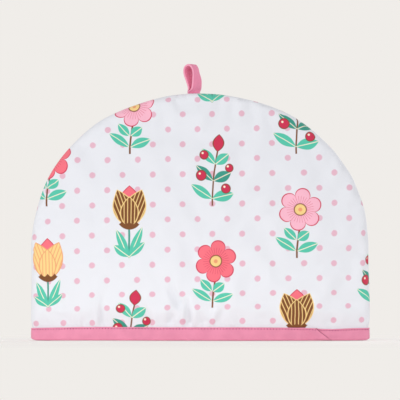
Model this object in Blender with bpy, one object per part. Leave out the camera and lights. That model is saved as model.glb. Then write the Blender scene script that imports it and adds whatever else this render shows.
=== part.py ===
"""Tea cosy: two arched, wadded cotton panels sewn together round the arch, bias binding folded round the
open hem, and a tape loop caught in the top seam. It stands on its hem, hollow and open below.
Metres, +Z up, the front towards -Y, the origin on the floor under the middle."""

import math

import bmesh
import bpy
from mathutils import Vector

MM = 0.001
GAP = 0.3 * MM  # clearance between neighbouring pieces

# The arch seen from the front: straight sides, then a dome that is a little squarer than an ellipse.
HALF_WIDTH = 170.0 * MM
SIDE_HEIGHT = 91.0 * MM
BODY_HEIGHT = 249.0 * MM
ARCH_POWER = 2.1

# How far the cosy stands open. The inside is a lens in plan that narrows to nothing at the arch.
HALF_OPENING = 41.0 * MM
TAPER_POWER = 1.6
LENS_POWER = 2.2

# The padded wall: full in the middle, pressed thin inside the binding.
WALL = 8.5 * MM
HEM_WALL = 4.2 * MM
PUFFED_FROM = 34.0 * MM  # height where the wall is full again
SEAM_ALLOWANCE = 7.5 * MM  # width of the flat faces sewn together round the arch


# The bias binding, a U in section.
BINDING_HEIGHT = 12.6 * MM
BINDING_CLOTH = 1.2 * MM
BINDING_ROUND = 2.4 * MM
HEM_DROP = BINDING_CLOTH + GAP  # the panels end this far above the floor
HEM_PINCH = BINDING_CLOTH + GAP  # and are drawn in this much at the sides
BAND_TOP = 13.0 * MM  # the panels stay upright up to here
PINCH_TOP = 21.0 * MM  # and are at their full width from here

# The inside of a panel is its outside, smaller by the seam allowance.
INSIDE_WIDE = (HALF_WIDTH - SEAM_ALLOWANCE) / HALF_WIDTH
INSIDE_TALL = (BODY_HEIGHT - SEAM_ALLOWANCE - HEM_DROP) / (BODY_HEIGHT - HEM_DROP)

# The loop in the top seam.
TAPE_WIDTH = 12.5 * MM
TAPE_THICKNESS = 2.2 * MM
TAPE_EDGE = 0.6 * MM  # chamfer along the tape's edges
LOOP_CENTRE_X = -6.7 * MM
LOOP_ROOT = 5.0 * MM  # length caught in the seam
LOOP_TURN = math.radians(33.0)  # how far the tape turns from the seam's line, above TURN_ABOVE
TURN_ABOVE = 11.0 * MM

# The panels' mesh: an even core, and rings that round off the edge.
CORE_COLUMNS = 46
CORE_ROWS = 20
ROW_POWER = 1.2  # crowds the rows towards the hem
TOP_BLEND = 1.7  # keeps the lowest rows level
SHOULDER = 0.30  # fraction of the outline from its foot to the core's upper corner
RIM_INSETS = [0.0, 0.6 * MM, 2.6 * MM, 6.0 * MM, 12.0 * MM]
OUTLINE_SAMPLES = 400
WELD = 0.01 * MM
SHARP_ANGLE = math.radians(50.0)

# Soft folds of each panel, in millimetres from the middle of the hem. A fold runs from (x, z) to
# (x_end, z_end), where it fades out; depth is how far it sinks, and a negative depth is a ridge.
FOLD_FADE = 0.35  # fraction of its run after which a fold starts to fade
FOLD_RISE = 6.0 * MM  # height over which the folds open out above the binding
FRONT_FOLDS = [
    # x, z, x_end, z_end, width, depth
    (-25.0, 38.0, -38.0, 62.0, 6.5, 2.8),
    (-34.0, 14.0, -27.0, 36.0, 5.5, 2.2),
    (-20.0, 22.0, -20.0, 54.0, 4.5, -1.0),
    (-15.5, 17.0, -16.5, 50.0, 4.5, 1.9),
    (-5.0, 14.0, 6.0, 36.0, 5.5, 1.1),
    (-51.0, 15.0, -54.0, 48.0, 5.5, 1.3),
    (-88.0, 14.0, -83.0, 54.0, 6.0, 1.7),
    (-105.0, 14.0, -106.0, 56.0, 4.5, -0.8),
    (-112.0, 14.0, -114.0, 54.0, 5.5, 1.9),
    (-125.0, 14.0, -122.0, 36.0, 5.0, 1.1),
    (62.0, 14.0, 66.0, 46.0, 6.5, 1.1),
    (98.0, 14.0, 95.0, 38.0, 6.0, 0.9),
    (131.0, 15.0, 127.0, 52.0, 6.5, 1.3),
    (166.0, 96.0, 144.0, 70.0, 6.0, 1.5),
    (34.0, 240.0, 29.0, 212.0, 5.5, 1.7),
    (-54.0, 238.0, -51.0, 212.0, 5.5, 1.4),
    (50.0, 236.0, 56.0, 206.0, 6.0, 1.1),
    (-36.0, 220.0, -35.0, 176.0, 7.0, 0.9),
]
BACK_FOLDS = [
    (28.0, 15.0, 31.0, 60.0, 6.0, 2.2),
    (44.0, 15.0, 43.0, 48.0, 5.0, 1.3),
    (95.0, 14.0, 91.0, 54.0, 6.0, 1.6),
    (121.0, 14.0, 122.0, 40.0, 5.5, 1.1),
    (-22.0, 14.0, -25.0, 46.0, 6.0, 1.4),
    (-70.0, 15.0, -66.0, 58.0, 6.0, 1.9),
    (-112.0, 14.0, -116.0, 44.0, 6.0, 1.2),
    (-160.0, 92.0, -140.0, 70.0, 6.0, 1.1),
    (-40.0, 238.0, -37.0, 212.0, 5.5, 1.2),
    (48.0, 237.0, 46.0, 210.0, 5.5, 1.3),
]

# The loop's middle line, front leg last: across is towards the front, up is above the seam.
LOOP_COURSE = [
    # across, up, in millimetres
    (-1.3, -5.0),
    (-1.3, 1.0),
    (-3.4, 6.4),
    (-6.8, 12.6),
    (-9.0, 19.0),
    (-7.6, 24.8),
    (-2.6, 27.9),
    (3.4, 26.8),
    (7.8, 21.6),
    (8.8, 14.5),
    (6.2, 7.4),
    (2.4, 3.2),
    (1.3, 0.8),
    (1.3, -5.0),
]
LOOP_STEPS = 34
BINDING_STEPS = 28  # sections along each quarter of the hem
BINDING_CROWD = 1.35  # crowds them towards the side seams
PLAN_STEPS = 60  # points along half a hem plan
BEND_STEPS = 10  # and round its bend at the side seam

COTTON = ("printed_cotton", (0.84, 0.86, 0.90), 0.85)
BINDING_PINK = ("pink_binding", (0.83, 0.29, 0.44), 0.80)
TAPE_PINK = ("pink_tape", (0.80, 0.25, 0.40), 0.78)


def ease(value, low, high):
    """0 up to low, 1 from high, and an even S between them."""
    t = min(max((value - low) / (high - low), 0.0), 1.0)
    return t * t * (3.0 - 2.0 * t)


def sample(line, fraction):
    """The point at a fraction of a polyline's length, and the direction there."""
    lengths = [(b - a).length for a, b in zip(line, line[1:])]
    left = fraction * sum(lengths)
    for a, b, length in zip(line, line[1:], lengths):
        if left <= length:
            return a.lerp(b, left / length), (b - a).normalized()
        left -= length
    return line[-1].copy(), (line[-1] - line[-2]).normalized()


def side_pinch(z):
    """How far the binding draws the sides in at this height."""
    return HEM_PINCH * (1.0 - ease(z, BAND_TOP, PINCH_TOP))


def half_width(z):
    """Half the width of the arch at a height."""
    if z <= SIDE_HEIGHT:
        return HALF_WIDTH - side_pinch(z)
    up = min((z - SIDE_HEIGHT) / (BODY_HEIGHT - SIDE_HEIGHT), 1.0)
    return HALF_WIDTH * (1.0 - up**ARCH_POWER) ** (1.0 / ARCH_POWER)


def arch_outline():
    """The arch from its left foot over the top to its right foot, as (x, z)."""
    foot = Vector((HALF_WIDTH, HEM_DROP))
    right = []
    for i in range(OUTLINE_SAMPLES + 1):
        angle = 0.5 * math.pi * i / OUTLINE_SAMPLES
        x = HALF_WIDTH * math.cos(angle) ** (2.0 / ARCH_POWER)
        rise = (BODY_HEIGHT - SIDE_HEIGHT) * math.sin(angle) ** (2.0 / ARCH_POWER)
        right.append(Vector((x, SIDE_HEIGHT + rise)))
    right[-1].x = 0.0
    left = [Vector((-p.x, p.y)) for p in [foot] + right]
    return left + list(reversed([foot] + right[:-1]))


OUTLINE = arch_outline()


def edge_fractions():
    """Where the grid's lines meet the outline: up the left side, over the top and down the right side."""
    side = [SHOULDER * (j / CORE_ROWS) ** ROW_POWER for j in range(CORE_ROWS + 1)]
    top = [SHOULDER + (1.0 - 2.0 * SHOULDER) * i / CORE_COLUMNS for i in range(1, CORE_COLUMNS)]
    return side + top + [1.0 - f for f in reversed(side)]


def rim_point(fraction, inset):
    """A point inside the outline, at a distance from it, as (x, z)."""
    point, direction = sample(OUTLINE, fraction)
    inward = Vector((direction.y, -direction.x))
    return point + inward * inset


def core_point(u, v, left, top, right):
    """The core's (x, z): level between its sides, lifted towards the crown; u and v run from 0 to 1."""
    level = left.lerp(right, u)
    shoulder_left, crown, shoulder_right = top
    return level + (crown - shoulder_left.lerp(shoulder_right, u)) * v**TOP_BLEND


def map_grid(bm, columns, rows, place, inset_layer, inset_at):
    """Adds a grid of quads, with place(i, j) giving each corner's (x, z)."""
    before = set(bm.verts)
    bmesh.ops.create_grid(bm, x_segments=columns, y_segments=rows, size=1.0)
    for vert in [v for v in bm.verts if v not in before]:
        i = round((vert.co.x + 1.0) / 2.0 * columns)
        j = round((vert.co.y + 1.0) / 2.0 * rows)
        point = place(i, j)
        vert.co = (point.x, 0.0, point.y)
        vert[inset_layer] = inset_at(j)


def flat_panel(bm, inset_layer):
    """The panel cut flat: rings along the arch, and an even core inside them."""
    fractions = edge_fractions()
    core_inset = RIM_INSETS[-1]
    rings = [[rim_point(f, inset) for f in fractions] for inset in RIM_INSETS]
    inner = rings[-1]
    last = len(fractions) - 1

    def place_rim(i, j):
        return rings[len(RIM_INSETS) - 1 - j][i]

    def place_core(i, j):
        top = (inner[CORE_ROWS], inner[CORE_ROWS + i], inner[last - CORE_ROWS])
        return core_point(i / CORE_COLUMNS, fractions[j] / SHOULDER, inner[j], top, inner[last - j])

    rim_rows = len(RIM_INSETS) - 1
    map_grid(bm, last, rim_rows, place_rim, inset_layer, lambda j: RIM_INSETS[rim_rows - j])
    map_grid(bm, CORE_COLUMNS, CORE_ROWS, place_core, inset_layer, lambda j: core_inset)
    bmesh.ops.remove_doubles(bm, verts=bm.verts, dist=WELD)


def opening_depth(x, z, width):
    """Half the depth of the space inside, at a place on the panel."""
    up = max(z - BAND_TOP, 0.0) / (BODY_HEIGHT - BAND_TOP)
    across = min(abs(x) / max(width, 0.1 * MM), 1.0)
    return HALF_OPENING * (1.0 - up**TAPER_POWER) * (1.0 - across**LENS_POWER)


def edge_round(inset, full):
    """How far the padded face stands off its seam, at a distance in from the edge."""
    left = max(full - inset, 0.0)
    return math.sqrt(full * full - left * left)


def fold_depth(x, z, folds):
    """How far the folds sink the outer face at (x, z)."""
    depth = 0.0
    for x0, z0, x1, z1, width, sink in folds:
        start = Vector((x0 * MM, z0 * MM))
        run = Vector((x1 * MM, z1 * MM)) - start
        along = (Vector((x, z)) - start).dot(run) / run.length_squared
        clamped = min(max(along, 0.0), 1.0)
        away = (Vector((x, z)) - start - run * clamped).length / (width * MM)
        fade = 1.0 - ease(clamped, FOLD_FADE, 1.0)
        depth += sink * MM * fade * math.exp(-away * away)
    return depth * ease(z, BAND_TOP, BAND_TOP + FOLD_RISE)


def outer_point(x, z, inset, folds):
    """A place on the panel's outer face, as (x, depth, z)."""
    x *= half_width(min(z, SIDE_HEIGHT)) / HALF_WIDTH
    full = HEM_WALL + (WALL - HEM_WALL) * ease(z, BAND_TOP, PUFFED_FROM)
    sunk = fold_depth(x, z, folds) * ease(inset, RIM_INSETS[1], RIM_INSETS[-1])
    depth = opening_depth(x, z, half_width(z)) + edge_round(inset, full) - sunk
    return x, GAP / 2.0 + depth, z


def inner_point(x, z):
    """The same place on the inside, drawn in by the seam allowance."""
    x *= half_width(min(z, SIDE_HEIGHT)) / HALF_WIDTH
    depth = opening_depth(x, z, half_width(z))
    return x * INSIDE_WIDE, GAP / 2.0 + depth, HEM_DROP + (z - HEM_DROP) * INSIDE_TALL


def new_object(name, bm, finish, collection):
    """Makes an object of a bmesh, with its own Principled material, shaded smooth up to creases."""
    slot, colour, roughness = finish
    bmesh.ops.recalc_face_normals(bm, faces=bm.faces)
    mesh = bpy.data.meshes.new(name)
    bm.to_mesh(mesh)
    bm.free()
    material = bpy.data.materials.new(f"{slot}_{name}")
    material.use_nodes = True
    shader = material.node_tree.nodes["Principled BSDF"]
    shader.inputs["Base Color"].default_value = (*colour, 1.0)
    shader.inputs["Roughness"].default_value = roughness
    shader.inputs["Metallic"].default_value = 0.0
    mesh.materials.append(material)
    mesh.shade_smooth()
    mesh.set_sharp_from_angle(angle=SHARP_ANGLE)
    thing = bpy.data.objects.new(name, mesh)
    collection.objects.link(thing)
    return thing


def make_panel(name, side, folds, collection):
    """One padded panel. side is -1 for the front and 1 for the back."""
    bm = bmesh.new()
    inset_layer = bm.verts.layers.float.new("inset")
    flat_panel(bm, inset_layer)
    outer = list(bm.verts)
    lined = bmesh.ops.extrude_face_region(bm, geom=bm.faces[:], use_keep_orig=True)
    inner = [g for g in lined["geom"] if isinstance(g, bmesh.types.BMVert)]
    for vert in outer:
        x, depth, z = outer_point(vert.co.x, vert.co.z, vert[inset_layer], folds)
        vert.co = (x, side * depth, z)
    for vert in inner:
        x, depth, z = inner_point(vert.co.x, vert.co.z)
        vert.co = (x, side * depth, z)
    return new_object(name, bm, COTTON, collection)


def hem_outside(offset):
    """The left half of the hem's outer plan, from the side seam to the middle, grown by an offset."""
    end = half_width(0.0)
    bend = [HEM_WALL * (1.0 - math.cos(0.5 * math.pi * i / BEND_STEPS)) for i in range(BEND_STEPS)]
    insets = bend + [HEM_WALL + (end - HEM_WALL) * i / PLAN_STEPS for i in range(PLAN_STEPS + 1)]
    plan = [Vector((-end, 0.0))]
    for inset in insets:
        x = inset - end
        plan.append(Vector((x, GAP / 2.0 + opening_depth(x, 0.0, end) + edge_round(inset, HEM_WALL))))
    grown = []
    for i, point in enumerate(plan):
        direction = plan[min(i + 1, len(plan) - 1)] - plan[max(i - 1, 0)]
        outward = Vector((-direction.y, direction.x)).normalized()
        grown.append(point + outward * offset)
    grown[0].y = 0.0
    grown[-1].x = 0.0
    return grown


def hem_inside(offset):
    """The left half of the hem's inner plan, from the side seam to the middle, shrunk by an offset."""
    end = half_width(0.0) * INSIDE_WIDE
    slope = math.atan2(HALF_OPENING * LENS_POWER, end)
    small_end = end - offset / math.sin(slope)
    plan = [Vector((-small_end, 0.0))]
    for i in range(PLAN_STEPS + 1):
        across = 1.0 - i / PLAN_STEPS
        depth = (HALF_OPENING - offset) * (1.0 - across**LENS_POWER)
        plan.append(Vector((-small_end * across, GAP / 2.0 + depth)))
    return plan


def binding_section():
    """The U in section: (plan, offset from the panel's face, height) round its outline."""
    far = GAP + BINDING_CLOTH
    bend = BINDING_ROUND * (1.0 - math.sqrt(0.5))
    return [
        ("outside", far, BINDING_HEIGHT),
        ("outside", far, BINDING_ROUND),
        ("outside", far - bend, bend),
        ("outside", far - BINDING_ROUND, 0.0),
        ("inside", far - BINDING_ROUND, 0.0),
        ("inside", far - bend, bend),
        ("inside", far, BINDING_ROUND),
        ("inside", far, BINDING_HEIGHT),
        ("inside", GAP, BINDING_HEIGHT),
        ("inside", GAP, HEM_DROP - GAP),
        ("outside", GAP, HEM_DROP - GAP),
        ("outside", GAP, BINDING_HEIGHT),
    ]


def make_binding(collection):
    """The bias binding: its section carried round the closed hem."""
    plans = {"outside": hem_outside, "inside": hem_inside}
    section = binding_section()
    lines = [plans[plan](offset) for plan, offset, height in section]
    sides = len(section)
    quarter = BINDING_STEPS
    rounds = 4 * quarter
    bm = bmesh.new()
    bmesh.ops.create_grid(bm, x_segments=rounds, y_segments=sides, size=1.0)
    for vert in bm.verts:
        i = round((vert.co.x + 1.0) / 2.0 * rounds) % rounds
        j = round((vert.co.y + 1.0) / 2.0 * sides) % sides
        lap, step = divmod(i, quarter)
        fraction = step / quarter if lap % 2 == 0 else 1.0 - step / quarter
        point, _ = sample(lines[j], fraction**BINDING_CROWD)
        x = point.x if lap in (0, 3) else -point.x
        y = -point.y if lap in (0, 1) else point.y
        vert.co = (x, y, section[j][2])
    bmesh.ops.remove_doubles(bm, verts=bm.verts, dist=WELD)
    return new_object("hem_binding", bm, BINDING_PINK, collection)


def loop_pocket(panels, collection):
    """Cuts the space for the loop's root out of the seam between the panels."""
    root_half = -LOOP_COURSE[0][0] * MM + TAPE_THICKNESS / 2.0
    low = BODY_HEIGHT - LOOP_ROOT - GAP
    high = BODY_HEIGHT + WALL
    bpy.ops.mesh.primitive_cube_add(size=1.0, location=(LOOP_CENTRE_X, 0.0, (low + high) / 2.0))
    cutter = bpy.context.object
    cutter.name = "loop_pocket"
    cutter.scale = (TAPE_WIDTH + 2.0 * GAP, 2.0 * (root_half + GAP), high - low)
    cutter.hide_render = True
    cutter.display_type = "WIRE"
    for owner in list(cutter.users_collection):
        owner.objects.unlink(cutter)
    collection.objects.link(cutter)
    for panel in panels:
        cut = panel.modifiers.new("loop_pocket", "BOOLEAN")
        cut.operation = "DIFFERENCE"
        cut.object = cutter


def make_loop(collection):
    """The tape loop: a flat strip along LOOP_COURSE that turns as it rises out of the seam."""
    course = [Vector((a * MM, b * MM)) for a, b in LOOP_COURSE]
    line = smooth_course(course)
    seam_z = BODY_HEIGHT
    half_w, half_t = TAPE_WIDTH / 2.0, TAPE_THICKNESS / 2.0
    section = [
        (-half_w, TAPE_EDGE - half_t),
        (TAPE_EDGE - half_w, -half_t),
        (half_w - TAPE_EDGE, -half_t),
        (half_w, TAPE_EDGE - half_t),
        (half_w, half_t - TAPE_EDGE),
        (half_w - TAPE_EDGE, half_t),
        (TAPE_EDGE - half_w, half_t),
        (-half_w, half_t - TAPE_EDGE),
    ]
    bm = bmesh.new()
    sides = len(section)
    bmesh.ops.create_grid(bm, x_segments=LOOP_STEPS, y_segments=sides, size=1.0)
    for vert in bm.verts:
        i = round((vert.co.x + 1.0) / 2.0 * LOOP_STEPS)
        j = round((vert.co.y + 1.0) / 2.0 * sides) % sides
        point, direction = sample(line, i / LOOP_STEPS)
        wide, thick = section[j]
        outward = Vector((direction.y, -direction.x))
        across = point.x + outward.x * thick
        up = point.y + outward.y * thick
        turn = LOOP_TURN * ease(up, 0.0, TURN_ABOVE)
        x = LOOP_CENTRE_X + across * math.sin(turn) - wide * math.cos(turn)
        y = -across * math.cos(turn) - wide * math.sin(turn)
        vert.co = (x, y, seam_z + up)
    bmesh.ops.remove_doubles(bm, verts=bm.verts, dist=WELD)
    bmesh.ops.holes_fill(bm, edges=[e for e in bm.edges if e.is_boundary], sides=0)
    return new_object("hanging_loop", bm, TAPE_PINK, collection)


def smooth_course(points, steps=8):
    """A Catmull-Rom line through the points."""
    line = []
    ends = [points[0] * 2.0 - points[1]] + points + [points[-1] * 2.0 - points[-2]]
    for a, b, c, d in zip(ends, ends[1:], ends[2:], ends[3:]):
        for step in range(steps):
            t = step / steps
            pull = (c - a) * t + (2.0 * a - 5.0 * b + 4.0 * c - d) * t * t
            pull += (3.0 * b - a - 3.0 * c + d) * t**3
            line.append(b + pull * 0.5)
    return line + [points[-1]]


def main():
    for thing in list(bpy.data.objects):
        bpy.data.objects.remove(thing, do_unlink=True)
    collection = bpy.data.collections.new("tea_cosy")
    bpy.context.scene.collection.children.link(collection)
    cutters = bpy.data.collections.new("cutters")
    bpy.context.scene.collection.children.link(cutters)
    front = make_panel("front_panel", -1.0, FRONT_FOLDS, collection)
    back = make_panel("back_panel", 1.0, BACK_FOLDS, collection)
    loop_pocket([front, back], cutters)
    make_binding(collection)
    make_loop(collection)


main()
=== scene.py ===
"""Looks of the tea cosy: two padded panels of printed cotton, the bias binding with its lapped join and
its stitches, and the tape loop in the top seam. Metres, +Z up, the front towards -Y."""

import math

import bpy
import numpy as np
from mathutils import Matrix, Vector


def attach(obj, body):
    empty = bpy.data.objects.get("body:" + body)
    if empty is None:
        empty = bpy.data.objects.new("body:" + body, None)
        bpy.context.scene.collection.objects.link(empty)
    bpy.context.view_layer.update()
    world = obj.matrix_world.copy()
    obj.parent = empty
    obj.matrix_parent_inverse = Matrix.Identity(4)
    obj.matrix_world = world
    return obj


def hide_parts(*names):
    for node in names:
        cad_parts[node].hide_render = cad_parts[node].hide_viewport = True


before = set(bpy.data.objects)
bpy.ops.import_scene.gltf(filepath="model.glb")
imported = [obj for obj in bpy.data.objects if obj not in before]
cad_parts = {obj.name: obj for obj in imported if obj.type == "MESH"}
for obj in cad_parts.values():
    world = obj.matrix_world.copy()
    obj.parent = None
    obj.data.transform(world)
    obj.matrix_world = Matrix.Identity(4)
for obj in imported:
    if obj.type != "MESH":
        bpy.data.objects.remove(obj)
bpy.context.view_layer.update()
bpy.ops.object.select_all(action="DESELECT")
MM = 0.001


# ---- Panels --------------------------------------------------------------------------------------
# The front and the back are each one arch of printed cotton over wadding and a plain cotton lining.
# They are sewn together round the arch, inside out, and turned, so the seam lies in a groove and the
# cloth puckers a little along it and above the binding.
HALF_WIDTH = 170.0 * MM
SIDE_HEIGHT = 91.0 * MM
BODY_HEIGHT = 249.0 * MM
ARCH_POWER = 2.1
HALF_OPENING = 41.0 * MM
TAPER_POWER = 1.6
LENS_POWER = 2.2
WALL = 8.5 * MM
HEM_WALL = 4.2 * MM
PUFFED_FROM = 34.0 * MM
SEAM_ALLOWANCE = 7.5 * MM
SEAM_GAP = 0.1 * MM  # between the two panels
HEM_LEVEL = 1.5 * MM  # the panels end inside the binding, this far above the floor
CORNER_LIFT = 2.4 * MM  # the two ends of the hem are drawn up inside the binding
CORNER_DRAWN = (147.0 * MM, 156.0 * MM)  # across, where they start to rise
CORNER_TOP = 10.0 * MM
BAND_TOP = 13.0 * MM
PINCH_TOP = 21.0 * MM
INSIDE_WIDE = (HALF_WIDTH - SEAM_ALLOWANCE) / HALF_WIDTH
INSIDE_TALL = (BODY_HEIGHT - SEAM_ALLOWANCE - HEM_LEVEL) / (BODY_HEIGHT - HEM_LEVEL)
ROOT_X = -6.7 * MM  # where the loop leaves the seam
ROOT_HALF_WIDE = 5.6 * MM
ROOT_PUSH = 2.55 * MM  # how far its two legs push each panel aside
ROOT_DEPTH = 9.0 * MM
ROOT_EASE = 2.4 * MM  # to either side of the root, over which the panel comes back
TOP_PART = 200.0 * MM  # the root pushes the seam above this height alone

# How the seam wavers out (+) and in (-), at shares of the arch's length from its left foot.
SEAM_WAVER = [
    # share, millimetres
    (0.04, 0.0),
    (0.09, -0.5),
    (0.14, 0.3),
    (0.19, -0.7),
    (0.24, 0.2),
    (0.30, -0.6),
    (0.35, 0.3),
    (0.375, -0.7),
    (0.405, -1.2),
    (0.43, -0.8),
    (0.455, 0.0),
    (0.52, 0.0),
    (0.56, -0.8),
    (0.60, -0.5),
    (0.635, 0.2),
    (0.70, -1.0),
    (0.715, -0.1),
    (0.735, -0.9),
    (0.765, 0.3),
    (0.785, -0.7),
    (0.81, 0.2),
    (0.845, -1.1),
    (0.865, -0.6),
    (0.885, -1.2),
    (0.92, -0.3),
    (0.95, 0.3),
    (0.975, 0.0),
]

# Soft folds that run from (x, z) to (x_end, z_end), millimetres; a negative depth is a ridge.
FRONT_FOLDS = [
    # x, z, x_end, z_end, width, depth
    (-22.0, 36.0, -33.5, 61.0, 4.0, 5.2),
    (-30.5, 14.0, -27.5, 32.0, 3.3, 3.2),
    (-17.4, 22.0, -17.0, 50.0, 3.4, -2.8),
    (-11.5, 15.0, -12.5, 46.0, 3.4, 3.2),
    (-6.0, 17.0, -5.0, 34.0, 3.2, -1.3),
    (12.5, 22.0, 21.5, 43.0, 4.0, -2.2),
    (2.5, 14.0, 5.0, 24.0, 3.0, 1.4),
    (-50.0, 15.0, -54.5, 40.0, 3.4, 3.2),
    (-102.2, 16.0, -102.4, 56.0, 3.6, -2.8),
    (-96.0, 14.0, -97.5, 46.0, 3.6, 2.6),
    (-119.4, 15.0, -119.0, 31.0, 2.9, -1.5),
    (-114.2, 14.0, -114.6, 29.0, 2.9, 1.4),
    (-138.5, 36.0, -146.0, 54.0, 4.0, 2.6),
    (-67.0, 90.0, -75.0, 74.0, 6.0, 1.6),
    (131.0, 15.0, 127.0, 52.0, 6.5, 0.9),
    (164.0, 86.0, 150.0, 100.0, 4.5, 1.8),
    (34.0, 240.0, 29.0, 212.0, 5.5, 2.1),
    (-54.0, 238.0, -51.0, 212.0, 5.5, 1.8),
    (50.0, 236.0, 56.0, 206.0, 6.0, 1.5),
    (-36.0, 220.0, -35.0, 176.0, 7.0, 1.3),
]
BACK_FOLDS = [
    (28.0, 15.0, 31.0, 60.0, 6.0, 2.2),
    (44.0, 15.0, 43.0, 48.0, 5.0, 1.3),
    (95.0, 14.0, 91.0, 54.0, 6.0, 1.6),
    (121.0, 14.0, 122.0, 40.0, 5.5, 1.1),
    (-22.0, 14.0, -25.0, 46.0, 6.0, 1.4),
    (-70.0, 15.0, -66.0, 58.0, 6.0, 1.9),
    (-112.0, 14.0, -116.0, 44.0, 6.0, 1.2),
    (-160.0, 92.0, -140.0, 70.0, 6.0, 1.1),
    (-40.0, 238.0, -37.0, 212.0, 5.5, 1.2),
    (48.0, 237.0, 46.0, 210.0, 5.5, 1.3),
]
FOLD_FADE = 0.35  # share of a fold's length after which it starts to fade
FOLD_START = 6.0 * MM  # height above the binding over which the folds begin

# The cloth is drawn a little askew as it is sewn, so the print stands off its even place.
DRIFT_UP = [
    # height, how far the print stands below its place, millimetres
    (20.0, -2.4),
    (33.0, -1.7),
    (47.0, 0.9),
    (90.0, 1.5),
    (120.0, 1.4),
    (151.0, 0.8),
    (181.0, -0.3),
    (211.0, -1.5),
    (240.0, -3.0),
]
DRIFT_ACROSS = [
    # place across, how far the print stands to the left of its place, millimetres
    (-150.0, 0.0),
    (-120.0, -0.8),
    (-92.0, -1.4),
    (-40.0, -1.4),
    (-5.0, -0.3),
    (15.0, 0.4),
    (45.0, 1.1),
    (72.0, 1.2),
    (90.0, 0.3),
    (115.0, -1.2),
    (165.0, -2.8),
]

# The mesh of a panel: rings along the arch, and inside them an even grid, its corners at the shoulders.
CORE_COLUMNS = 150
CORE_ROWS = 78
ROW_POWER = 1.1
TOP_BLEND = 1.7
SHOULDER = 0.30  # share of the arch's length
RIM_INSETS = [0.0, 0.5 * MM, 1.4 * MM, 2.8 * MM, 4.8 * MM, 7.4 * MM, 10.5 * MM, 14.0 * MM]
OUTLINE_SAMPLES = 400
MAP_STEPS = 24
MERGE = 0.01 * MM

# The cloth is cut a little fuller than its seam and its binding, and is drawn over the wadding, which
# holds it softly. Between the two it settles into small puckers.
FULLER = 0.042  # share of extra cloth beside the seam and the binding
MIDDLE_FULLER = 0.003  # and in the middle
SEAM_REACH = 24.0 * MM
HEM_REACH = 34.0 * MM
RIGHT_FULLER = 0.25  # how full the right of the hem is, as a share of the left
WADDING_HOLD = 0.15
SWELL = 0.27 * MM  # the wadding's own unevenness
LINING_SWELL = 1.2  # how much more uneven the lining is
SWELL_WAVES = 20
SWELL_LENGTHS = (14.0, 50.0)  # millimetres
SETTLING = 25  # frames
BACK_CUT_AT = np.array([57.0, -37.0]) * MM  # where in the print the back is cut, face up like the front
MOST_MOVED = 2.5 * MM

# Ranges over which the cloth goes from held, or even, to free: (from, to).
FOLDS_IN = (0.6 * MM, 12.0 * MM)  # in from the seam
SWELLS_IN = (2.0 * MM, 12.0 * MM)
SEAM_HELD = (0.4 * MM, 2.0 * MM)
HEM_HELD = (BAND_TOP, BAND_TOP + 1.5 * MM)
ROOT_HELD = (9.0 * MM, 14.0 * MM)  # to either side of the loop's root
ROOT_HELD_UP = (234.0 * MM, 240.0 * MM)  # and up towards it
SHOULDER_EVEN = (12.0 * MM, 22.0 * MM)  # round the corners of the even grid
RIGHT_OF_HEM = (25.0 * MM, 60.0 * MM)

# The cotton as Blender's cloth: light and soft, and pressed out a little by the wadding.
COTTON = {
    "quality": 6,
    "mass": 0.3,
    "tension_stiffness": 15.0,
    "compression_stiffness": 15.0,
    "shear_stiffness": 5.0,
    "bending_stiffness": 10.0,
    "vertex_group_mass": "held",
    "pin_stiffness": 1.0,
    "vertex_group_shrink": "drawn",
    "shrink_min": -FULLER,
    "shrink_max": -MIDDLE_FULLER,
    "use_pressure": True,
    "uniform_pressure_force": 0.3,
}


def ease(value, low, high):
    """0 up to low, 1 from high, and an even S between them."""
    t = np.clip((value - low) / (high - low), 0.0, 1.0)
    return t * t * (3.0 - 2.0 * t)


def puffed(z):
    """0 in the binding, 1 where the wadding is at its full thickness."""
    return ease(z, BAND_TOP, PUFFED_FROM)


def hump(away, width):
    """1 in the middle and less to either side."""
    return np.exp(-((away / width) ** 2))


def evened(value, at, sizes, shifts, period=None):
    """Reads a table of sizes at a value, as their mean at places shifted a little from it."""
    return np.mean([np.interp(value + shift, at, sizes, period=period) for shift in shifts], axis=0)


def unit(rows):
    """Rows of directions, brought to length 1."""
    return rows / np.linalg.norm(rows, axis=1)[:, None]


def aside(rows):
    """Rows of directions, turned a quarter to the right."""
    return np.column_stack([rows[:, 1], -rows[:, 0]])


def reach_along(line):
    """The length of a line of points up to each of them."""
    return np.concatenate([[0.0], np.cumsum(np.linalg.norm(np.diff(line, axis=0), axis=1))])


def half_width(z):
    """Half the width of the arch at each height; the binding draws the foot of the sides in."""
    side = HALF_WIDTH - HEM_LEVEL * (1.0 - ease(z, BAND_TOP, PINCH_TOP))
    up = np.clip((z - SIDE_HEIGHT) / (BODY_HEIGHT - SIDE_HEIGHT), 0.0, 1.0)
    return np.where(z <= SIDE_HEIGHT, side, HALF_WIDTH * (1.0 - up**ARCH_POWER) ** (1.0 / ARCH_POWER))


def opening_depth(x, z):
    """Half the depth of the space inside, a lens in plan that narrows to nothing at the arch."""
    up = np.clip(z - BAND_TOP, 0.0, None) / (BODY_HEIGHT - BAND_TOP)
    across = np.clip(np.abs(x) / np.maximum(half_width(z), 0.1 * MM), 0.0, 1.0)
    return HALF_OPENING * np.clip(1.0 - up**TAPER_POWER, 0.0, None) * (1.0 - across**LENS_POWER)


def edge_round(inset, full):
    """How far the padded face stands off its seam, at a distance in from the edge."""
    return np.sqrt(full**2 - np.clip(full - inset, 0.0, full) ** 2)


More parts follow.
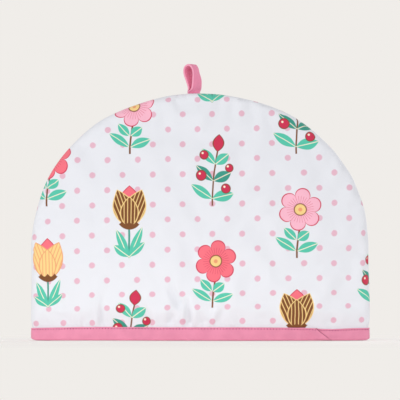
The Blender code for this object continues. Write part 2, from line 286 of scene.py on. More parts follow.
def arch_outline():
    """The arch from its left foot over the top to its right foot, as rows of (x, z)."""
    angle = np.linspace(0.0, 0.5 * math.pi, OUTLINE_SAMPLES + 1)
    x = HALF_WIDTH * np.clip(np.cos(angle), 0.0, 1.0) ** (2.0 / ARCH_POWER)
    z = SIDE_HEIGHT + (BODY_HEIGHT - SIDE_HEIGHT) * np.sin(angle) ** (2.0 / ARCH_POWER)
    x[-1] = 0.0
    right = np.vstack([[HALF_WIDTH, HEM_LEVEL], np.column_stack([x, z])])
    return np.vstack([right * [-1.0, 1.0], right[-2::-1]])


def along(line, fractions):
    """Points at fractions of a line's length, and the directions there."""
    reach = reach_along(line)
    at = np.clip(fractions, 0.0, 1.0) * reach[-1]
    points = np.column_stack([np.interp(at, reach, line[:, k]) for k in range(line.shape[1])])
    step = np.clip(np.searchsorted(reach, at, side="right") - 1, 0, len(line) - 2)
    return points, unit(np.diff(line, axis=0)[step])


OUTLINE = arch_outline()
SHOULDERS = along(OUTLINE, np.array([SHOULDER, 1.0 - SHOULDER]))[0]
SIDE_FRACTIONS = SHOULDER * (np.arange(CORE_ROWS + 1) / CORE_ROWS) ** ROW_POWER
TOP_FRACTIONS = np.linspace(SHOULDER, 1.0 - SHOULDER, CORE_COLUMNS + 1)[1:-1]
FRACTIONS = np.concatenate([SIDE_FRACTIONS, TOP_FRACTIONS, 1.0 - SIDE_FRACTIONS[::-1]])


def rim_line(inset):
    """The arch's grid line at a distance in from its wavering edge, as rows of (x, z)."""
    points, direction = along(OUTLINE, FRACTIONS)
    share, out = np.array(SEAM_WAVER).T
    waver = evened(FRACTIONS, share, out * MM, (-0.008, 0.0, 0.008))
    inward = inset - waver * (1.0 - ease(inset, 0.0, RIM_INSETS[-1]))
    return points + aside(direction) * inward[:, None]


def grid_of_cloth(columns, rows, name):
    """A flat grid of quads, with the column and the row of each of its corners."""
    bpy.ops.mesh.primitive_grid_add(x_subdivisions=columns, y_subdivisions=rows, size=2.0)
    thing = bpy.context.object
    thing.name = name
    co = coordinates(thing.data)
    numbers = np.rint((co[:, :2] + 1.0) / 2.0 * [columns, rows]).astype(int)
    return thing, numbers[:, 0], numbers[:, 1]


def coordinates(mesh):
    """A mesh's vertices as rows of (x, y, z)."""
    co = np.empty(len(mesh.vertices) * 3)
    mesh.vertices.foreach_get("co", co)
    return co.reshape(-1, 3)


def set_coordinates(mesh, co):
    """Moves a mesh's vertices."""
    mesh.vertices.foreach_set("co", np.asarray(co, float).ravel())
    mesh.update()


def keep(mesh, name, values):
    """Stores one number for each vertex."""
    layer = mesh.attributes.get(name) or mesh.attributes.new(name, "FLOAT", "POINT")
    layer.data.foreach_set("value", np.broadcast_to(values, len(mesh.vertices)).astype(np.float32))


def kept(mesh, name):
    """Reads the numbers back."""
    values = np.empty(len(mesh.vertices), np.float32)
    mesh.attributes[name].data.foreach_get("value", values)
    return values.astype(float)


def lay_out(mesh, places):
    """Gives a mesh its one UV map, the places of its vertices on the flat cloth, in metres."""
    while mesh.uv_layers:
        mesh.uv_layers.remove(mesh.uv_layers[0])
    corners = np.empty(len(mesh.loops), int)
    mesh.loops.foreach_get("vertex_index", corners)
    layer = mesh.uv_layers.new(name="cloth")
    layer.data.foreach_set("uv", places[corners].astype(np.float32).ravel())


def edit_whole(thing):
    """Opens a piece's mesh for editing, with all of it selected."""
    bpy.ops.object.select_all(action="DESELECT")
    thing.select_set(True)
    bpy.context.view_layer.objects.active = thing
    bpy.ops.object.mode_set(mode="EDIT")
    bpy.ops.mesh.select_all(action="SELECT")


def stand_flat(thing, flat, inset, fraction):
    """Puts a grid's corners at their places (x, z) on the flat cut, and stores where these lie."""
    set_coordinates(thing.data, np.insert(flat, 1, 0.0, axis=1))
    keep(thing.data, "inset", inset)
    keep(thing.data, "fraction", fraction)


def cut_panel(name):
    """The panel cut flat: rings along the arch, and an even core inside them."""
    rings = np.array([rim_line(inset) for inset in RIM_INSETS])
    inner = rings[-1]
    last = len(FRACTIONS) - 1
    rim, i, j = grid_of_cloth(last, len(RIM_INSETS) - 1, name)
    ring = len(RIM_INSETS) - 1 - j
    stand_flat(rim, rings[ring, i], np.array(RIM_INSETS)[ring], FRACTIONS[i])
    core, i, j = grid_of_cloth(CORE_COLUMNS, CORE_ROWS, name)
    u = (i / CORE_COLUMNS)[:, None]
    lift = (SIDE_FRACTIONS[j] / SHOULDER)[:, None] ** TOP_BLEND
    level = inner[j] * (1.0 - u) + inner[last - j] * u
    shoulders = inner[CORE_ROWS] * (1.0 - u) + inner[last - CORE_ROWS] * u
    stand_flat(core, level + (inner[CORE_ROWS + i] - shoulders) * lift, RIM_INSETS[-1], 0.5)
    rim.select_set(True)
    core.select_set(True)
    bpy.context.view_layer.objects.active = rim
    bpy.ops.object.join()
    edit_whole(rim)
    bpy.ops.mesh.remove_doubles(threshold=MERGE)
    bpy.ops.object.mode_set(mode="OBJECT")
    return rim


def folds_at(x, z, folds):
    """How far the folds sink the outer face."""
    depth = np.zeros(len(x))
    for x0, z0, x1, z1, width, sink in folds:
        run = np.array([x1 - x0, z1 - z0]) * MM
        away = np.column_stack([x - x0 * MM, z - z0 * MM])
        t = np.clip(away @ run / (run @ run), 0.0, 1.0)
        distance = np.linalg.norm(away - t[:, None] * run, axis=1)
        depth += sink * MM * (1.0 - ease(t, FOLD_FADE, 1.0)) * hump(distance, width * MM)
    return depth * ease(z, BAND_TOP, BAND_TOP + FOLD_START)


def root_push(x, z, inset):
    """How far the loop's root pushes a panel aside."""
    across = 1.0 - ease(np.abs(x - ROOT_X), ROOT_HALF_WIDE, ROOT_HALF_WIDE + ROOT_EASE)
    return ROOT_PUSH * across * (1.0 - ease(inset, 0.3 * ROOT_DEPTH, ROOT_DEPTH)) * (z > TOP_PART)


def swells(x, z, inset, seed):
    """How far low broad swells lift the cloth, where the wadding lies thicker or thinner."""
    chance = np.random.default_rng(seed)
    height = np.zeros(len(x))
    for _ in range(SWELL_WAVES):
        turn = chance.uniform(0.0, math.pi)
        length = chance.uniform(*SWELL_LENGTHS) * MM
        start = chance.uniform(0.0, 2.0 * math.pi)
        wave = np.sin((x * math.cos(turn) + z * math.sin(turn)) * 2.0 * math.pi / length + start)
        height += wave * length / (SWELL_LENGTHS[1] * MM)
    return SWELL * height * ease(inset, *SWELLS_IN) * puffed(z)


def drift(value, table):
    """The print's drift at a height or a place across, evened out over 12 mm."""
    at, off = np.array(table).T * MM
    return evened(value, at, off, np.array([-6.0, -2.0, 2.0, 6.0]) * MM)


def full_depth(z):
    """How far the padded face stands off the space inside, away from the seam."""
    return HEM_WALL + (WALL - HEM_WALL) * puffed(z)


def cloth_map(x, z, inset, fraction):
    """Where a place on the face lies on the flat cloth, measured along the cloth."""
    tiny = 0.2 * MM
    u = np.zeros(len(x))
    v = np.zeros(len(x))
    for t in (np.arange(MAP_STEPS) + 0.5) / MAP_STEPS:
        slope = (opening_depth(x * t + tiny, z) - opening_depth(x * t - tiny, z)) / (2.0 * tiny)
        u += x * np.sqrt(1.0 + slope**2) / MAP_STEPS
        slope = (opening_depth(x, z * t + tiny) - opening_depth(x, z * t - tiny)) / (2.0 * tiny)
        v += z * np.sqrt(1.0 + slope**2) / MAP_STEPS
    full = full_depth(z)
    level = np.clip(full - inset, 0.0, None)
    rolled = full * np.arcsin(level / full) - level
    direction = along(OUTLINE, fraction)[1]
    u += drift(x, DRIFT_ACROSS) - direction[:, 1] * rolled
    return np.column_stack([u, v + drift(z, DRIFT_UP) + direction[:, 0] * rolled])


def wadded_face(name, side, folds):
    """A panel's outer face as the wadding fills it; side is -1 for the front and 1 for the back."""
    panel = cut_panel(name)
    mesh = panel.data
    co = coordinates(mesh)
    inset = kept(mesh, "inset")
    z = co[:, 2]
    x = co[:, 0] * half_width(np.minimum(z, SIDE_HEIGHT)) / HALF_WIDTH
    keep(mesh, "across", x)
    keep(mesh, "up", z)
    sunk = folds_at(x, z, folds) * ease(inset, *FOLDS_IN)
    swell = swells(x, z, inset, int(5 + side))
    stand = SEAM_GAP / 2.0 + opening_depth(x, z) + edge_round(inset, full_depth(z))
    flat = cloth_map(x, z, inset, kept(mesh, "fraction"))
    lay_out(mesh, flat if side < 0.0 else BACK_CUT_AT - flat * [1.0, -1.0])
    set_coordinates(mesh, np.column_stack([x, side * (stand - sunk + swell + root_push(x, z, inset)), z]))
    return panel


def weigh(panel, name, weights):
    """Gives each vertex its weight in a new vertex group."""
    group = panel.vertex_groups.new(name=name)
    for k, weight in enumerate(weights):
        group.add([k], float(weight), "REPLACE")


def draw_over_wadding(panel, side):
    """Sets the cloth up: held at the seam, the hem and the loop's root, and fuller beside them."""
    mesh = panel.data
    x, z, inset = kept(mesh, "across"), kept(mesh, "up"), kept(mesh, "inset")
    seam = 1.0 - ease(inset, *SEAM_HELD)
    hem = 1.0 - ease(z, *HEM_HELD)
    root = (1.0 - ease(np.abs(x - ROOT_X), *ROOT_HELD)) * ease(z, *ROOT_HELD_UP)
    held = np.maximum.reduce([seam, hem, root, np.full(len(x), WADDING_HOLD)])
    edge = OUTLINE[::4]
    from_seam = np.hypot(x[:, None] - edge[:, 0], z[:, None] - edge[:, 1]).min(axis=1)
    # The fullness comes and goes in slow waves, out of step on the two panels.
    uneven = 0.5 + 0.22 * np.sin(x / (13.0 * MM) + 2.1 * side) + 0.22 * np.sin(x / (29.0 * MM) - side)
    uneven += 0.12 * np.sin(z / (15.0 * MM) + x / (40.0 * MM))
    shoulder = np.min([np.hypot(x - at_x, z - at_z) for at_x, at_z in SHOULDERS], axis=0)
    at_hem = (1.0 - ease(z, BAND_TOP, HEM_REACH)) * (1.0 - (1.0 - RIGHT_FULLER) * ease(x, *RIGHT_OF_HEM))
    extra = np.maximum(1.0 - ease(from_seam, SEAM_HELD[1], SEAM_REACH), at_hem)
    extra *= np.clip(uneven, 0.0, 1.0) * ease(shoulder, *SHOULDER_EVEN)
    weigh(panel, "held", held)
    weigh(panel, "drawn", 1.0 - extra)
    settle = panel.modifiers.new("settle", "CLOTH")
    for name, value in COTTON.items():
        setattr(settle.settings, name, value)
    settle.settings.effector_weights.gravity = 0.0
    settle.collision_settings.use_collision = False
    settle.collision_settings.use_self_collision = False
    settle.point_cache.frame_start = 1
    settle.point_cache.frame_end = SETTLING


def keep_settled(panel, side):
    """Applies the cloth, and lets no place move far or cross to the other panel."""
    before = coordinates(panel.data)
    bpy.context.view_layer.objects.active = panel
    bpy.ops.object.modifier_apply(modifier="settle")
    moved = coordinates(panel.data) - before
    far = np.linalg.norm(moved, axis=1)
    after = before + moved * np.minimum(1.0, MOST_MOVED / np.maximum(far, 1e-6))[:, None]
    after[:, 1] = side * np.maximum(side * after[:, 1], SEAM_GAP / 2.0)
    set_coordinates(panel.data, after)
    panel.vertex_groups.clear()


def add_lining(panel, side):
    """Adds the lining: a second layer inside, joined to the face round the whole edge."""
    mesh = panel.data
    edit_whole(panel)
    bpy.ops.mesh.extrude_region()
    bpy.ops.object.mode_set(mode="OBJECT")
    lining = np.array([v.select for v in mesh.vertices])
    keep(mesh, "lining", lining)
    x, z, inset = kept(mesh, "across"), kept(mesh, "up"), kept(mesh, "inset")
    rim = np.clip(1.0 - inset / RIM_INSETS[1], 0.0, 1.0)
    push = root_push(x, z, 0.0) * rim
    sway = LINING_SWELL * swells(x, z, inset, int(7 + side))
    y = side * (SEAM_GAP / 2.0 + opening_depth(x, z) + push + sway)
    inner = np.column_stack([x * INSIDE_WIDE, y, HEM_LEVEL + (z - HEM_LEVEL) * INSIDE_TALL])
    co = np.where(lining[:, None], inner, coordinates(mesh))
    drawn_up = CORNER_LIFT * ease(np.abs(co[:, 0]), *CORNER_DRAWN)
    co[:, 2] += drawn_up * (1.0 - ease(co[:, 2], HEM_LEVEL, CORNER_TOP))
    set_coordinates(mesh, co)
    edit_whole(panel)
    bpy.ops.mesh.normals_make_consistent(inside=False)
    bpy.ops.object.mode_set(mode="OBJECT")


# The cloth is a plain-weave cotton, near white, printed with pale pink spots and scattered flowers.
# The flowers are three simple ones: a round blossom, a tulip and a sprig of leaves and berries.
SPOT_WIDE = 30.37  # from spot to spot across, and up; the print's own sizes are in millimetres
SPOT_TALL = 30.13
SPOT_RADIUS = 3.0
SPOT_AT = (-3.2, 1.5)  # a spot's place on the front, from the middle of the hem
SPOT_LEAN = 0.0118  # the rows rise this much towards the right
SPOT_SOFT = 0.45  # how softly a spot ends
CELL_WIDE = 84.0  # each flower stands in a cell of its own
CELL_TALL = 104.0
CELL_AT = (-30.0, 15.2)
FLOWER_SIZE = 1.2  # of the flowers as they are drawn below
FLOWER_SOFT = 0.25
PRINT_WOBBLE = 0.9
PRINT_FRAY = 0.7
THREAD = 0.44 * MM  # from thread to thread of the weave
RELIEF = 0.2 * MM


def paint(red, green, blue):
    """A colour as a shader wants it, from its usual 0 to 255 values."""
    parts = [part / 255.0 for part in (red, green, blue)]
    linear = [p / 12.92 if p <= 0.04045 else ((p + 0.055) / 1.055) ** 2.4 for p in parts]
    return (*linear, 1.0)


class Signal:
    """A shader socket that takes part in Python expressions; each step adds a Math node."""

    def __init__(self, finish, socket):
        self.finish = finish
        self.socket = socket

    def math(self, operation, *others, flip=False):
        terms = [self, *others]
        if flip:
            terms.reverse()
        return self.finish.node("Math", {"operation": operation}, dict(enumerate(terms)))

    def __add__(self, other):
        return self.math("ADD", other)

    def __sub__(self, other):
        return self.math("SUBTRACT", other)

    def __rsub__(self, other):
        return self.math("SUBTRACT", other, flip=True)

    def __mul__(self, other):
        return self.math("MULTIPLY", other)

    def __truediv__(self, other):
        return self.math("DIVIDE", other)

    def __pow__(self, other):
        return self.math("POWER", other)

    def __abs__(self):
        return self.math("ABSOLUTE")

    __radd__ = __add__
    __rmul__ = __mul__


class Finish:
    """The nodes of one material, or of the light around the cosy, and one way to add any node."""

    def __init__(self, owner):
        owner.use_nodes = True
        self.owner = owner
        self.tree = owner.node_tree
        self.shader = self.tree.nodes.get("Principled BSDF")

    def node(self, kind, settings=None, inputs=None, output=0):
        """Adds a node, sets it up, then gives its sockets values or links; returns an output."""
        added = self.tree.nodes.new("ShaderNode" + kind)
        for name, value in (settings or {}).items():
            setattr(added, name, value)
        self.feed(added, inputs or {})
        return Signal(self, added.outputs[output])

    def feed(self, node, inputs):
        """Gives a node's sockets values or links."""
        for name, value in inputs.items():
            if isinstance(value, Signal):
                self.tree.links.new(value.socket, node.inputs[name])
            else:
                node.inputs[name].default_value = value

    def mix(self, share, first, second):
        """A colour from first, where share is 0, to second, where it is 1."""
        return self.node("Mix", {"data_type": "RGBA"}, {0: share, 6: first, 7: second}, output=2)

    def noise(self, place, scale, detail):
        """Even noise between 0 and 1."""
        return self.node("TexNoise", {}, {"Vector": place, "Scale": scale, "Detail": detail})

    def ramp(self, value, low, high, start=0.0, end=1.0, kind="LINEAR"):
        """From start, where a value is low, to end, where it is high."""
        limits = {"From Min": low, "From Max": high, "To Min": start, "To Max": end}
        return self.node("MapRange", {"interpolation_type": kind}, {"Value": value, **limits})

    def cloth(self):
        """A place on the flat cloth, whole and as its two parts."""
        place = self.node("UVMap", {"uv_map": "cloth"})
        return place, *self.parts(place)

    def parts(self, place):
        """The first two parts of a place."""
        first = self.node("SeparateXYZ", {}, {"Vector": place})
        return first, Signal(self, first.socket.node.outputs[1])


def inside(distance, edge=FLOWER_SOFT):
    """1 where a distance is below 0, 0 above, with a soft edge this wide on either side."""
    return distance.finish.ramp(distance, edge, -edge)


def length_of(x, y):
    """How long the arrow (x, y) is."""
    return (x * x + y * y).math("SQRT")


def turned(x, y, foot, degrees):
    """Coordinates from a foot point, the first one along a direction."""
    turn = math.radians(degrees)
    px, py = x - foot[0], y - foot[1]
    return px * math.cos(turn) + py * math.sin(turn), py * math.cos(turn) - px * math.sin(turn)


def leaf(x, y, foot, degrees, length, width):
    """Distance to a pointed leaf or petal, and how far across it a place lies."""
    along_it, across = turned(x, y, foot, degrees)
    share = along_it / length
    return abs(across) - share * (1.0 - share) * (2.0 * width), across


def disc(x, y, centre, radius):
    """Distance to a round shape."""
    return length_of(x - centre[0], y - centre[1]) - radius


def lines(across, pitch, width):
    """Thin lines side by side."""
    place_in = abs((across / pitch).math("FRACT") - 0.5) * pitch
    return inside(place_in - width / 2.0)


def stem(x, y, bend, low, high, width):
    """Distance to an upright stem that bends aside towards its top."""
    rise = y - low
    side = abs(x - rise * rise * bend) - width / 2.0
    return side.math("MAXIMUM", low - y).math("MAXIMUM", y - high)


class Print:
    """The printed colour so far, to which shapes are added one over the other."""

    def __init__(self, finish, ground):
        self.finish = finish
        self.colour = ground
        self.only = None

    def add(self, mask, ink):
        """Prints an ink where the mask is 1, within the cells of the present flower."""
        if self.only is not None:
            mask = mask * self.only
        self.colour = self.finish.mix(mask, self.colour, ink)


BUTTER = paint(243, 208, 138)
ORANGE = paint(233, 158, 112)
BROWN = paint(124, 76, 42)
CORAL = paint(241, 114, 128)
RASPBERRY = paint(203, 50, 82)
TEAL = paint(86, 195, 168)
DEEP_TEAL = paint(58, 150, 132)
PALE_PINK = paint(245, 184, 202)
CREAM = paint(252, 238, 214)
SPOT_PINK = paint(225, 181, 197)
GROUND = paint(227, 229, 234)
LINING_WHITE = paint(240, 240, 240)


def print_leaf(ink, x, y, foot, degrees, length, width, green):
    """A leaf with a pale vein."""
    shape, across = leaf(x, y, foot, degrees, length, width)
    ink.add(inside(shape), green)
    ink.add(inside(shape.math("MAXIMUM", abs(across) - 0.3)), CREAM)


def print_petal(ink, shape, across, main, line):
    """A petal with an outline and stripes."""
    ink.add(inside(shape - 0.4), line)
    ink.add(inside(shape + 0.5), main)
    ink.add(inside(shape + 0.5) * lines(across, 2.9, 0.7), line)


def print_blossom(ink, x, y, main, edge):
    """A round blossom on a stem with two leaves at each side."""
    ink.add(inside(stem(x, y, 0.004, -30.0, 6.0, 1.5)), BROWN)
    for foot, degrees, length in (((0.5, -24.0), 28.0, 19.0), ((0.5, -15.0), 42.0, 13.0)):
        print_leaf(ink, abs(x), y + x * 0.14, foot, degrees, length, 8.0, TEAL)
    px, py = x - 3.0, y - 10.5
    angle = py.math("ARCTAN2", px)
    petal = abs((angle * 3.0 + 0.5).math("SINE"))
    far = length_of(px, py)
    reach = far - petal**0.55 * 6.4
    ink.add(inside(reach - 11.4), edge)
    ink.add(inside(reach - 10.5), main)
    streak = abs((angle * 15.0 + 2.5).math("SINE")) * far * 0.21 - 0.34
    ink.add(inside(streak.math("MAXIMUM", far - 11.0)), edge)
    ink.add(inside(far - 5.2), BROWN)
    ink.add(inside(far - 4.4), BUTTER)
    ink.add(inside(far - 1.6), ORANGE)


def print_tulip(ink, x, y, main, line):
    """A striped tulip with two long leaves at each side."""
    ink.add(inside(stem(x, y, 0.0, -30.0, 0.0, 1.6)), DEEP_TEAL)
    for foot, degrees, length in (((0.0, -30.0), 66.0, 27.0), ((0.0, -29.0), 40.0, 17.0)):
        print_leaf(ink, abs(x), y - x * 0.1, foot, degrees, length, 7.0, TEAL)
    back, across = leaf(x, y, (0.0, -4.0), 90.0, 34.0, 20.0)
    ink.add(inside(back - 0.5), RASPBERRY)
    ink.add(inside(back + 0.4), CORAL)
    side, across = leaf(abs(x), y, (-2.2, -6.0), 69.0, 35.0, 18.0)
    print_petal(ink, side, across + 0.6, main, line)
    front_petal, across = leaf(x, y, (0.0, -6.0), 90.0, 27.0, 15.0)
    print_petal(ink, front_petal, across, main, line)
    cup = disc(x, y, (0.0, 4.0), 10.5)
    wave = abs((x * 0.52).math("SINE")) * 2.4
    ink.add(inside(cup.math("MAXIMUM", y + wave - 0.5)), BROWN)


def print_sprig(ink, x, y, main, shade):
    """A sprig of leaves with round berries and a bud."""
    ink.add(inside(stem(x, y, 0.0022, -30.0, 20.0, 1.3)), BROWN)
    leaves = (
        ((0.0, -24.0), 24.0, 20.0, 9.0, TEAL),
        ((1.0, -9.0), 34.0, 18.0, 8.5, DEEP_TEAL),
        ((2.6, 5.0), 44.0, 16.0, 8.0, TEAL),
    )
    for foot, degrees, length, width, green in leaves:
        print_leaf(ink, abs(x - foot[0]), y + x * 0.2, (0.0, foot[1]), degrees, length, width, green)
    bud, across = leaf(x, y, (4.5, 15.0), 84.0, 15.0, 10.0)
    ink.add(inside(bud), shade)
    ink.add(inside(bud + 0.8), main)
    berries = ((-9.5, -4.5, 4.6), (11.5, -15.5, 4.2), (-7.0, 12.5, 4.0), (14.5, 1.5, 3.6))
    for at_x, at_y, radius in berries:
        berry = disc(x, y, (at_x, at_y), radius)
        ink.add(inside(berry), shade)
        ink.add(inside(berry + 0.7), main)
        ink.add(inside(disc(x, y, (at_x - 1.3, at_y + 1.4), 0.9)), CREAM)


def printed_cotton():
    """The printed face of the panels."""
    cotton = Finish(bpy.data.materials.new("printed_cotton"))
    cloth, u, v = cotton.cloth()
    wobble = (cotton.noise(cloth, 70.0, 1.0) - 0.5) * PRINT_WOBBLE
    u = u * (1.0 / MM) + wobble
    v = v * (1.0 / MM) + wobble
    ink = Print(cotton, GROUND)
    fray = (cotton.noise(cloth, 1100.0, 1.0) - 0.5) * PRINT_FRAY
    spots = []
    for shift in (0.0, 0.5):
        across = ((u - SPOT_AT[0]) / SPOT_WIDE + 0.5 - shift).math("FRACT") - 0.5
        up = ((v - u * SPOT_LEAN - SPOT_AT[1]) / SPOT_TALL + 0.5 - shift).math("FRACT") - 0.5
        spots.append(length_of(across * SPOT_WIDE, up * SPOT_TALL))
    ink.add(inside(spots[0].math("MINIMUM", spots[1]) - SPOT_RADIUS + fray, SPOT_SOFT), SPOT_PINK)
    column = ((u - CELL_AT[0]) / CELL_WIDE).math("FLOOR")
    odd = (column * 0.5).math("FRACT") * 2.0
    tall = (v - CELL_AT[1]) / CELL_TALL + odd * 0.5
    row = tall.math("FLOOR")
    x = ((u - CELL_AT[0]) / CELL_WIDE - column - 0.5) * (CELL_WIDE / FLOWER_SIZE)
    y = (tall - row - 0.5) * (CELL_TALL / FLOWER_SIZE)
    kind = ((column + row * 2.0) / 3.0).math("FRACT") * 3.0
    ink.only = kind.math("LESS_THAN", 0.5)
    main = cotton.mix(odd, CORAL, PALE_PINK)
    print_blossom(ink, x, y, main, RASPBERRY)
    ink.only = abs(kind - 1.0).math("LESS_THAN", 0.5)
    print_tulip(ink, x, y, cotton.mix(odd, BUTTER, BROWN), cotton.mix(odd, ORANGE, BUTTER))
    ink.only = kind.math("GREATER_THAN", 1.5)
    print_sprig(ink, x, y, RASPBERRY, BROWN)
    cotton.feed(cotton.shader, {"Base Color": ink.colour})
    weave(cotton, cloth, 0.25)
    return cotton.owner


def weave(finish, cloth, strength):
    """Plain weave: threads over and under one another, a little uneven, as bump and roughness."""
    warp, weft = [(part * (math.pi / THREAD)).math("SINE") for part in finish.parts(cloth)]
    slub = finish.noise(cloth, 900.0, 3.0)
    height = warp * weft * 0.5 + slub * 0.6
    bump = finish.node("Bump", {}, {"Height": height, "Strength": strength, "Distance": RELIEF})
    roughness = slub * 0.16 + 0.74
    finish.feed(finish.shader, {"Normal": bump, "Roughness": roughness, "Specular IOR Level": 0.25})
    finish.feed(finish.shader, {"Sheen Weight": 0.12, "Sheen Roughness": 0.5})


def lining_cotton():
    """The plain face inside."""
    plain = Finish(bpy.data.materials.new("lining_cotton"))
    plain.feed(plain.shader, {"Base Color": LINING_WHITE})
    weave(plain, plain.cloth()[0], 0.25)
    return plain.owner


front = wadded_face("front_cloth", -1.0, FRONT_FOLDS)
back = wadded_face("back_cloth", 1.0, BACK_FOLDS)
panels = ((front, -1.0, "front_panel"), (back, 1.0, "back_panel"))
for panel, side, node in panels:
    draw_over_wadding(panel, side)
for step in range(1, SETTLING + 1):
    bpy.context.scene.frame_set(step)
for panel, side, node in panels:
    keep_settled(panel, side)
bpy.context.scene.frame_set(1)
print_finish = printed_cotton()
lining_finish = lining_cotton()
for panel, side, node in panels:
    add_lining(panel, side)
    mesh = panel.data
    mesh.materials.clear()
    mesh.materials.append(print_finish)
    mesh.materials.append(lining_finish)
    lined = kept(mesh, "lining")
    inner_faces = [min(lined[v] for v in face.vertices) > 0.5 for face in mesh.polygons]
    mesh.polygons.foreach_set("material_index", np.array(inner_faces, int))
    mesh.shade_smooth()
    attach(panel, "root")
    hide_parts(node)


# ---- Hem binding ---------------------------------------------------------------------------------
# One strip of pink cotton cut on the bias, folded over the raw hem of both panels. It starts on the
# front, near the right side, goes once round and ends on top of its own start with a slanting fold.
BAND_HEIGHT = 12.6 * MM
BAND_CLOTH = 1.1 * MM
BAND_FAR = 1.5 * MM  # its face stands this far off the pressed panel
BAND_ROUND = 1.6 * MM
BAND_EDGE = 0.4 * MM
ROUND_STEPS = 4
UNDER_WIDE = 3.2 * MM  # flat part of the fold, under the panels' edges
BAND_COLUMNS = 680
CROWDED_COLUMNS = 70  # of them, close together at each end of the strip
CROWDED_RUN = 24.0 * MM
BEND_STEPS = 16
PLAN_STEPS = 90
JOIN_X = 113.8 * MM  # the slanting fold's upper end on the front
JOIN_SLANT = 1.27  # how far the fold runs aside for each millimetre down
LAP = 9.0 * MM  # length of the start hidden under the end
LAP_EASE = 9.0 * MM  # over which the strip rises to lie on its start
LAP_RAISE = 0.95 * MM
LAP_SINK = 0.75 * MM
LAP_PRESSED = (LAP + 0.3 * MM, LAP + 1.6 * MM)  # along the strip, where its start comes up again
STITCH_DOWN = 1.5 * MM  # from the band's upper edge to its row of stitches
GROOVE_DEEP = 0.45 * MM  # the stitches pull the cloth in, and pucker it between them
GROOVE_WIDE = 0.55 * MM
PUCKER = 0.14 * MM
PUCKER_REACH = 2.4 * MM
PUFF = 0.08 * MM  # the cloth's slow waves along the band, which end at its two edges
PUFF_STARTS = (1.0 * MM, 6.0 * MM)
PUFF_ENDS = 2.0 * MM
PRESSED_THIN = 0.72  # share of its thickness that the start loses under the end
CREASE_DEEP = 0.3 * MM  # in the start, beside the end that lies on it
CREASE_OUT = 0.5 * MM
CREASE_HALF = 0.45 * MM

# The hem is not quite straight: its lower edge lifts off the floor here and there, and its upper edge
# dips where the join was pulled. Round the hem from the middle of the front, to the right and back.
HEM_LINE = [
    # way round, lower edge, upper edge, in millimetres
    (-181.0, 2.2, 12.4),
    (-174.0, 0.2, 12.5),
    (-156.0, 0.1, 12.9),
    (-125.0, 0.2, 13.4),
    (-95.0, 0.3, 13.7),
    (-73.0, 0.3, 13.6),
    (-31.0, 0.2, 13.3),
    (0.0, 0.2, 13.3),
    (41.0, 0.1, 13.3),
    (82.0, 0.1, 13.0),
    (103.0, 0.1, 12.7),
    (114.0, 0.1, 12.3),
    (120.0, 0.1, 11.7),
    (135.0, 0.0, 11.4),
    (146.0, 0.0, 11.9),
    (158.0, 0.1, 12.3),
    (174.0, 0.2, 12.5),
    (181.0, 2.2, 12.7),
    (200.0, 0.1, 12.7),
    (232.0, 0.0, 12.5),
    (275.0, 0.1, 12.9),
    (322.0, 0.2, 13.0),
    (371.0, 0.1, 12.6),
    (412.0, 0.0, 12.4),
    (470.0, 0.1, 12.8),
    (516.0, 0.1, 12.5),
]


def closed(quarter):
    """A loop from one quarter of it: from the left side seam along the front and back behind."""
    turned_back = quarter[::-1]
    parts = (
        quarter * [1.0, -1.0],
        turned_back[1:] * [-1.0, -1.0],
        quarter[1:] * [-1.0, 1.0],
        turned_back[1:],
    )
    return np.vstack(parts)


def hem_outside():
    """The pressed hem's outer plan, left seam to middle, grown to the band's face."""
    end = float(half_width(np.array(0.0)))
    bend = HEM_WALL * (1.0 - np.cos(0.5 * math.pi * np.arange(1, BEND_STEPS) / BEND_STEPS))
    insets = np.concatenate([[0.0], bend, np.linspace(HEM_WALL, end, PLAN_STEPS)])
    depth = SEAM_GAP / 2.0 + opening_depth(insets - end, np.zeros(len(insets)))
    depth += edge_round(insets, HEM_WALL)
    depth[0] = 0.0
    plan = np.column_stack([insets - end, depth])
    outward = -unit(aside(np.gradient(plan, axis=0)))
    outward[0] = (-1.0, 0.0)
    outward[-1] = (0.0, 1.0)
    return plan + outward * BAND_FAR


def hem_inside():
    """The pressed hem's inner plan, shrunk to the band's inner face."""
    end = float(half_width(np.array(0.0))) * INSIDE_WIDE
    slope = math.atan2(HALF_OPENING * LENS_POWER, end)
    across = 1.0 - np.linspace(0.0, 1.0, PLAN_STEPS)
    depth = SEAM_GAP / 2.0 + (HALF_OPENING - BAND_FAR) * (1.0 - across**LENS_POWER)
    plan = np.column_stack([-(end - BAND_FAR / math.sin(slope)) * across, depth])
    return np.vstack([[plan[0][0], 0.0], plan[1:]])


def loop_normals(loop, sign):
    """Level directions that point away from the hem's cloth, round a closed plan."""
    normal = unit(aside(np.roll(loop[:-1], -1, axis=0) - np.roll(loop[:-1], 1, axis=0)))
    return np.vstack([normal, normal[:1]]) * sign


OUTSIDE = closed(hem_outside())
INSIDE = closed(hem_inside())
PLANS = [
    np.hstack([OUTSIDE, loop_normals(OUTSIDE, 1.0)]),
    np.hstack([INSIDE, loop_normals(INSIDE, -1.0)]),
]
HEM_LENGTH = float(reach_along(OUTSIDE)[-1])


def reach_of(x):
    """The length along the front, from the left seam, at which the band gets to x."""
    front_half = len(OUTSIDE) // 2
    return float(np.interp(x, OUTSIDE[:front_half, 0], reach_along(OUTSIDE)[:front_half]))


def on_plan(plan, reach, off):
    """Places on a plan at lengths along the hem, moved off its face."""
    lengths = reach_along(plan[:, :2])
    at = (reach / HEM_LENGTH % 1.0) * lengths[-1]
    found = np.column_stack([np.interp(at, lengths, column) for column in plan.T])
    return found[:, :2] + unit(found[:, 2:]) * off[:, None]


